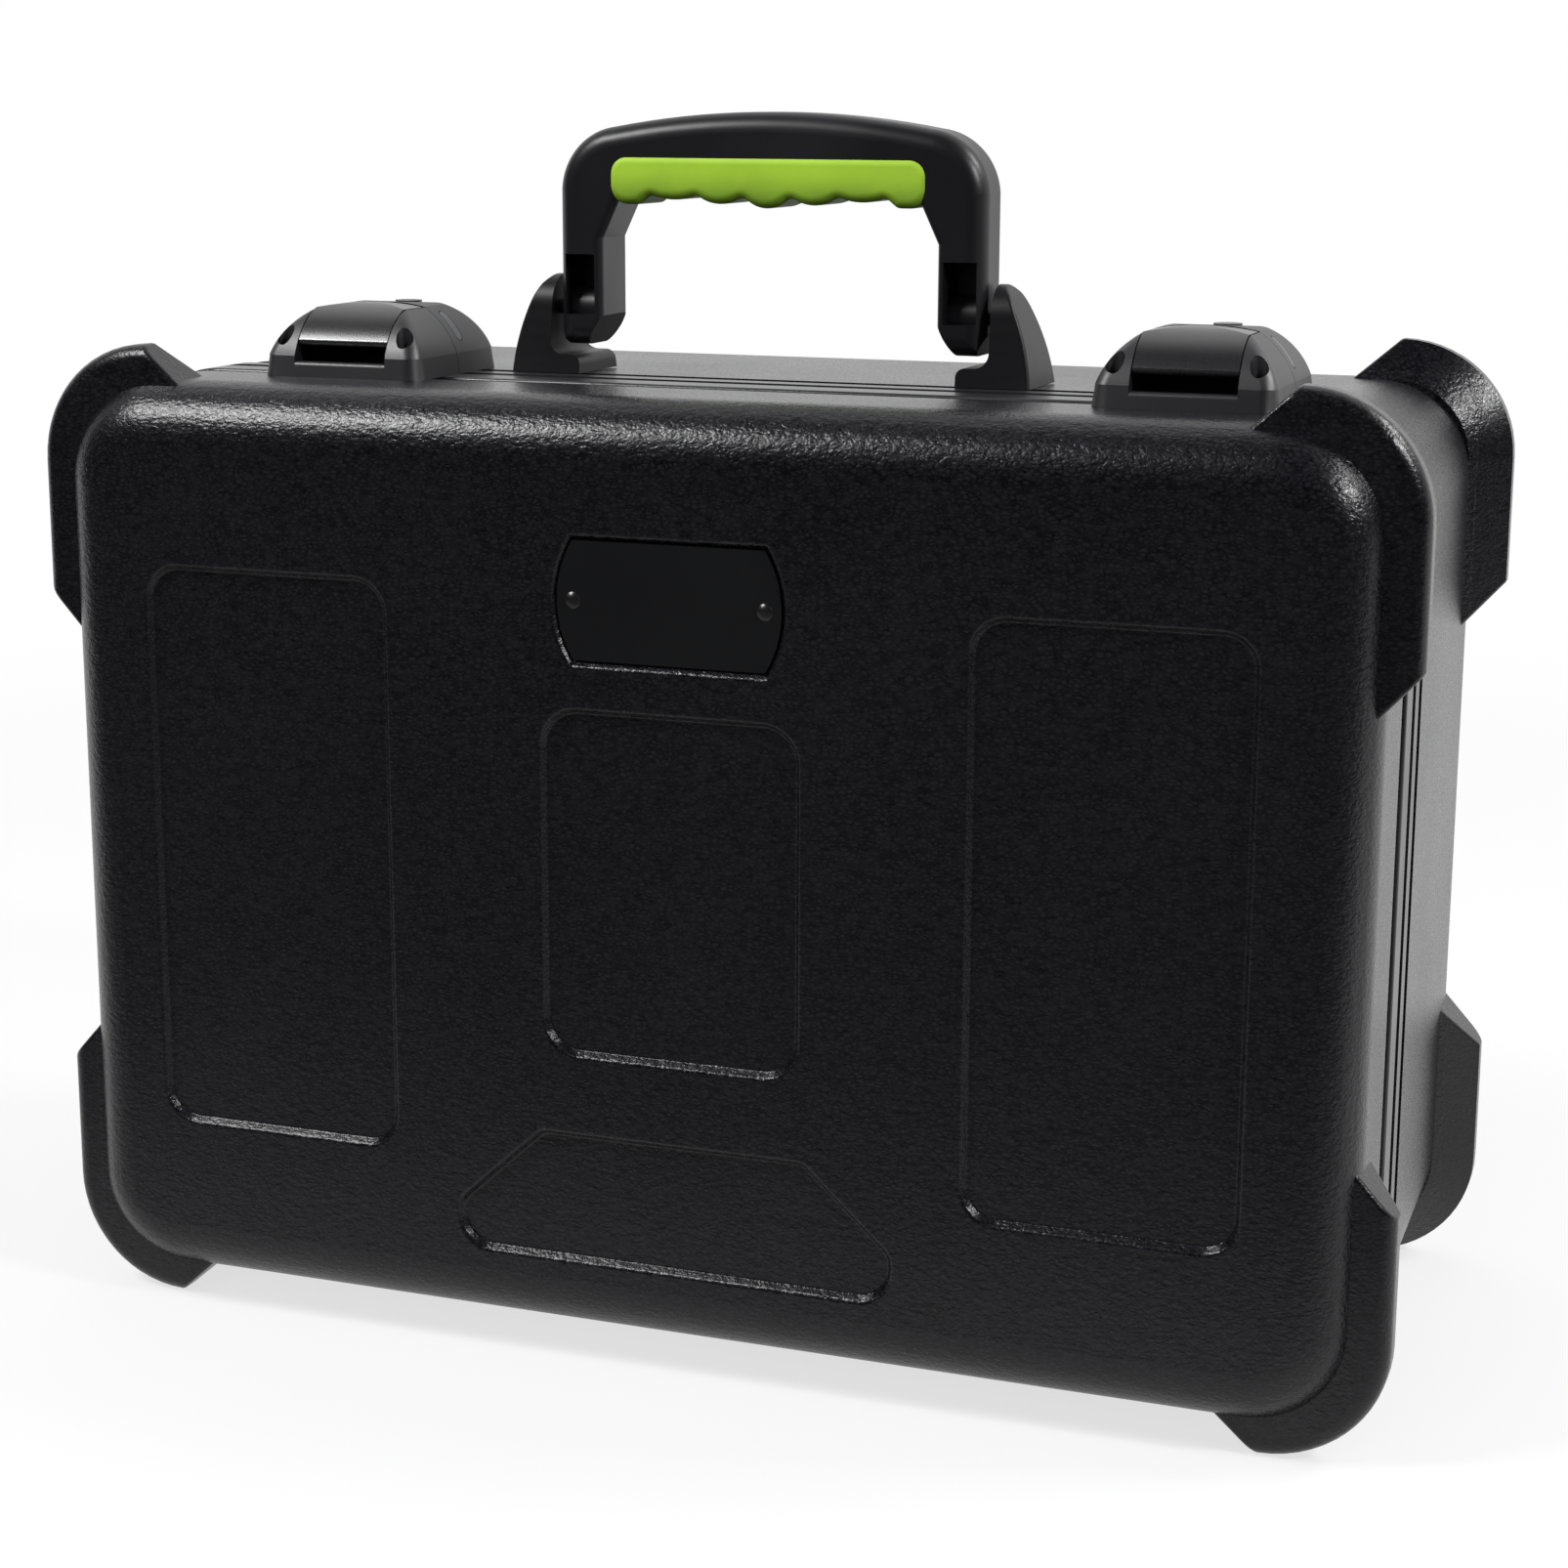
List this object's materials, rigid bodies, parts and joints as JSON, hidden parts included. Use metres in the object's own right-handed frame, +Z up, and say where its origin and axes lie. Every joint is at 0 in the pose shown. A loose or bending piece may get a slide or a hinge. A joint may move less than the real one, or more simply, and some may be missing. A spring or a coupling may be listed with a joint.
{
  "type": "microphone case",
  "caption": "Moulded carrying case with corner bumpers, folding handle, two lever latches and a foam insert with drops for handheld microphones.",
  "frame": {"origin": "centre of the bounding box at floor level, under the bottom corner bumpers", "axes": "+X to the right seen from the lid side, +Y from the lid's face to the back, +Z up towards the handle"},
  "size_m": [0.467, 0.225, 0.4116],
  "materials": {
    "moulded_shell": "black moulded polyethylene with a pebbled leather grain",
    "black_anodised": "black anodised extrusion with fine lengthwise lines",
    "seal_rubber": "soft black rubber",
    "badge_black": "satin black plate",
    "grip_green": "lime green soft-touch rubber",
    "handle_black": "black plastic with a fine spark-eroded texture",
    "bracket_black": "black glass-filled plastic, fine texture",
    "latch_body": "charcoal plastic, fine satin texture",
    "lever_gloss": "glossy charcoal plastic",
    "lock_black": "black lock cylinder",
    "foam": "charcoal open-cell foam",
    "fastener_black": "black oxide",
    "hinge_black": "black zinc",
    "steel": "zinc-plated steel"
  },
  "bodies": {
    "base": {"base_shell": "moulded_shell", "base_valance": "black_anodised", "bracket_screws": "steel", "foam_base_pad": "foam", "foam_bay_wall": "foam", "foam_rails": "foam", "foam_row_1": "foam", "foam_row_2": "foam", "foam_row_3": "foam", "gasket": "seal_rubber", "handle_bracket_left": "bracket_black", "handle_bracket_right": "bracket_black", "handle_pins": "steel", "hinge_leaf_base_left": "hinge_black", "hinge_leaf_base_right": "hinge_black", "hinge_pins": "steel", "hinge_rivets_base": "steel", "latch_insets": "latch_body", "latch_keepers": "steel", "latch_rear_left": "latch_body", "latch_rear_right": "latch_body"},
    "lid": {"badge_plate": "badge_black", "badge_rivets": "fastener_black", "hinge_leaf_lid_left": "hinge_black", "hinge_leaf_lid_right": "hinge_black", "hinge_rivets_lid": "steel", "latch_front_left": "latch_body", "latch_front_right": "latch_body", "latch_pins": "steel", "latch_screws": "fastener_black", "lid_foam": "foam", "lid_shell": "moulded_shell", "lid_valance": "black_anodised"},
    "handle": {"handle_front": "handle_black", "handle_grip": "grip_green", "handle_rear": "handle_black", "handle_screws": "fastener_black"},
    "lever_left": {"latch_lever_left": "lever_gloss"},
    "lever_right": {"latch_lever_right": "lever_gloss"},
    "lock_left": {"latch_lock_left": "lock_black"},
    "lock_right": {"latch_lock_right": "lock_black"}
  },
  "joints": [
    {"name": "lid_hinge", "type": "hinge", "parent": "base", "child": "lid", "pos_m": [0, -0.0415, 0.0096], "axis": [1, 0, 0], "range_deg": [0, 105]},
    {"name": "handle_fold", "type": "hinge", "parent": "base", "child": "handle", "pos_m": [0, -0.0125, 0.3456], "axis": [-1, 0, 0], "range_deg": [-90, 90]},
    {"name": "lever_left_lift", "type": "hinge", "parent": "lid", "child": "lever_left", "pos_m": [-0.134, -0.048, 0.3419], "axis": [-1, 0, 0], "range_deg": [0, 65], "stiffness_Nm_per_rad": 0.02, "springref_deg": -11.46},
    {"name": "lock_left_turn", "type": "hinge", "parent": "base", "child": "lock_left", "pos_m": [-0.13, -0.0285, 0.3479], "axis": [0, 0, 1], "range_deg": [0, 90]},
    {"name": "lever_right_lift", "type": "hinge", "parent": "lid", "child": "lever_right", "pos_m": [0.153, -0.048, 0.3419], "axis": [-1, 0, 0], "range_deg": [0, 65], "stiffness_Nm_per_rad": 0.02, "springref_deg": -11.46},
    {"name": "lock_right_turn", "type": "hinge", "parent": "base", "child": "lock_right", "pos_m": [0.157, -0.0285, 0.3479], "axis": [0, 0, 1], "range_deg": [0, 90]}
  ]
}
